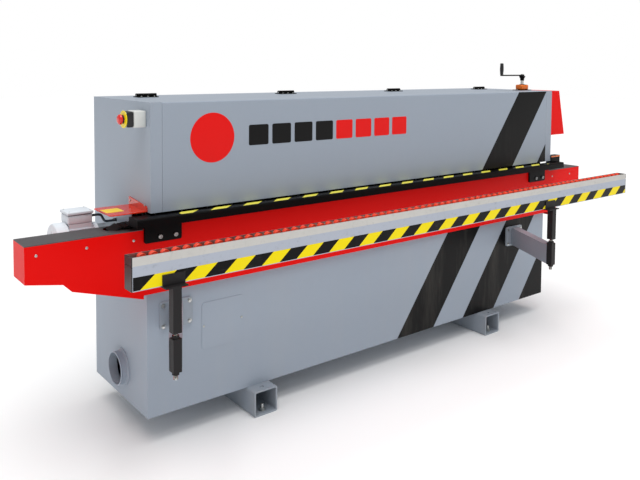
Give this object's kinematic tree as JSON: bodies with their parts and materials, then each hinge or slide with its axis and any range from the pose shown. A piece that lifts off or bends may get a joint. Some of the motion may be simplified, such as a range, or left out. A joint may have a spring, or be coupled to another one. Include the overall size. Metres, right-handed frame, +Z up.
{
  "type": "edge banding machine",
  "caption": "Straight-line edge banding machine: box base on tube feet, hinged hood over the edge units, chain track, pressure beam on a hand crank, and a roller rail on posts.",
  "frame": {"origin": "on the floor, in the middle of the overall length and depth", "axes": "+X the feed direction, along the machine; +Y from the operator to the back; +Z up"},
  "size_m": [3.623, 1.072, 1.6245],
  "materials": {
    "grey_paint": "satin powder coat",
    "red_paint": "satin powder coat",
    "dark_paint": "fine textured powder coat",
    "black_paint": "semi-gloss",
    "steel": "zinc plated",
    "chain_steel": "oiled",
    "aluminium": "anodised",
    "motor_casting": "grey paint on a casting",
    "gearbox_casting": "painted casting",
    "pad_rubber": "matt",
    "wheel_rubber": "matt",
    "orange_roller": "moulded",
    "black_plastic": "moulded",
    "cable_pvc": "smooth",
    "box_grey": "moulded",
    "stop_red": "moulded",
    "start_green": "moulded",
    "guard_acrylic": "tinted acrylic sheet",
    "indicator_orange": "moulded",
    "panel_black": "membrane fascia",
    "cutter_steel": "ground",
    "buff_cloth": "layered cotton",
    "glue_iron": "coated"
  },
  "bodies": {
    "root": {"base_frame": "grey_paint", "feet": "grey_paint", "access_panels": "grey_paint", "dust_outlet": "grey_paint", "track_beam": "dark_paint", "front_apron": "red_paint", "end_covers": "red_paint", "track_top_plates": "dark_paint", "track_brackets": "black_paint", "feed_chain": "chain_steel", "chain_pads": "pad_rubber", "idler_axle": "steel", "feed_gearbox": "gearbox_casting", "feed_motor": "motor_casting", "motor_cowl": "motor_casting", "terminal_box": "motor_casting", "motor_cable": "cable_pvc", "cable_glands": "black_plastic", "hood_frame": "grey_paint", "hinge_fixed_leaves": "black_paint", "hinge_pins": "steel", "estop_box": "box_grey", "infeed_guard": "guard_acrylic", "control_console": "red_paint", "console_panel": "panel_black", "position_indicator": "indicator_orange", "post_blocks": "black_paint", "support_arms": "grey_paint", "glue_pot": "glue_iron", "unit_motors": "aluminium", "edge_units": "aluminium", "cover_screws": "steel"},
    "hood_lid": {"hood_lid": "grey_paint", "hinge_lid_leaves": "black_paint"},
    "estop_button": {"estop_button": "stop_red"},
    "start_button": {"start_button": "start_green"},
    "stop_button": {"stop_button": "stop_red"},
    "crank": {"crank_arm": "black_paint", "lift_spindle": "steel"},
    "crank_grip": {"crank_grip": "black_plastic"},
    "pressure_beam": {"pressure_ledge": "black_paint", "pressure_beam": "black_paint", "pressure_axles": "steel", "pressure_wheels": "wheel_rubber"},
    "roller_rail": {"support_rail": "aluminium", "roller_channel": "steel", "rail_rollers": "orange_roller", "rail_end_caps": "black_plastic", "rail_posts": "black_paint", "post_rods": "steel"},
    "motor_rotor": {"motor_fan": "black_plastic"},
    "chain_drive": {"drive_sprocket": "steel", "drive_shaft": "steel"},
    "chain_idler": {"idler_sprocket": "steel"},
    "glue_roller": {"glue_roller": "cutter_steel"},
    "pressure_roller": {"pressure_roller": "cutter_steel"},
    "saw_spindle": {"saw_blades": "cutter_steel"},
    "trim_spindles": {"trim_cutters": "cutter_steel"},
    "upper_buff": {"upper_buff": "buff_cloth"},
    "lower_buff": {"lower_buff": "buff_cloth"}
  },
  "joints": [
    {"name": "hood_lid_hinge", "type": "hinge", "parent": "root", "child": "hood_lid", "pos_m": [0, 0.291, 1.458], "axis": [-1, 0, 0], "range_deg": [0, 75]},
    {"name": "estop_press", "type": "slide", "parent": "root", "child": "estop_button", "axis": [1, 0, 0], "range_m": [0, 0.005], "stiffness_N_per_m": 900},
    {"name": "start_press", "type": "slide", "parent": "root", "child": "start_button", "axis": [-0.9754, 0, -0.2205], "range_m": [0, 0.003], "stiffness_N_per_m": 600},
    {"name": "stop_press", "type": "slide", "parent": "root", "child": "stop_button", "axis": [-0.9754, 0, -0.2205], "range_m": [0, 0.003], "stiffness_N_per_m": 600},
    {"name": "crank_turn", "type": "hinge", "parent": "root", "child": "crank", "pos_m": [1.3765, 0.031, 1.449], "axis": [0, 0, 1], "range_deg": [0, 3240]},
    {"name": "crank_grip_spin", "type": "hinge", "parent": "crank", "child": "crank_grip", "pos_m": [1.1615, 0.031, 1.593], "axis": [0, 0, 1], "continuous": true},
    {"name": "pressure_beam_lift", "type": "slide", "parent": "root", "child": "pressure_beam", "axis": [0, 0, 1], "range_m": [0, 0.036]},
    {"name": "roller_rail_height", "type": "slide", "parent": "root", "child": "roller_rail", "axis": [0, 0, 1], "range_m": [-0.008, 0.02]},
    {"name": "motor_rotor_spin", "type": "hinge", "parent": "root", "child": "motor_rotor", "pos_m": [-1.6235, 0.149, 0.855], "axis": [1, 0, 0], "continuous": true},
    {"name": "chain_drive_spin", "type": "hinge", "parent": "root", "child": "chain_drive", "pos_m": [-1.3985, -0.039, 0.855], "axis": [0, 1, 0], "continuous": true},
    {"name": "chain_idler_spin", "type": "hinge", "parent": "root", "child": "chain_idler", "pos_m": [1.5155, -0.039, 0.855], "axis": [0, 1, 0], "continuous": true},
    {"name": "glue_roller_spin", "type": "hinge", "parent": "root", "child": "glue_roller", "pos_m": [-1.0235, 0.039, 0.95], "axis": [0, 0, 1], "continuous": true},
    {"name": "pressure_roller_spin", "type": "hinge", "parent": "root", "child": "pressure_roller", "pos_m": [-0.7635, 0.049, 0.95], "axis": [0, 0, 1], "continuous": true},
    {"name": "saw_spin", "type": "hinge", "parent": "root", "child": "saw_spindle", "pos_m": [-0.3735, 0.068, 0.962], "axis": [1, 0, 0], "continuous": true},
    {"name": "trim_spin", "type": "hinge", "parent": "root", "child": "trim_spindles", "pos_m": [0.0765, 0.054, 0.95], "axis": [0, 0, 1], "continuous": true},
    {"name": "upper_buff_spin", "type": "hinge", "parent": "root", "child": "upper_buff", "pos_m": [0.8265, 0.022, 1.008], "axis": [0, 1, 0], "continuous": true},
    {"name": "lower_buff_spin", "type": "hinge", "parent": "root", "child": "lower_buff", "pos_m": [0.8265, 0.022, 0.9], "axis": [0, 1, 0], "continuous": true}
  ],
  "couplings": [
    {"joint": "pressure_beam_lift", "follows": "crank_turn", "m_per_rad": 0.0006366},
    {"joint": "chain_drive_spin", "follows": "motor_rotor_spin", "ratio": 0.016667},
    {"joint": "chain_idler_spin", "follows": "motor_rotor_spin", "ratio": 0.016667}
  ]
}
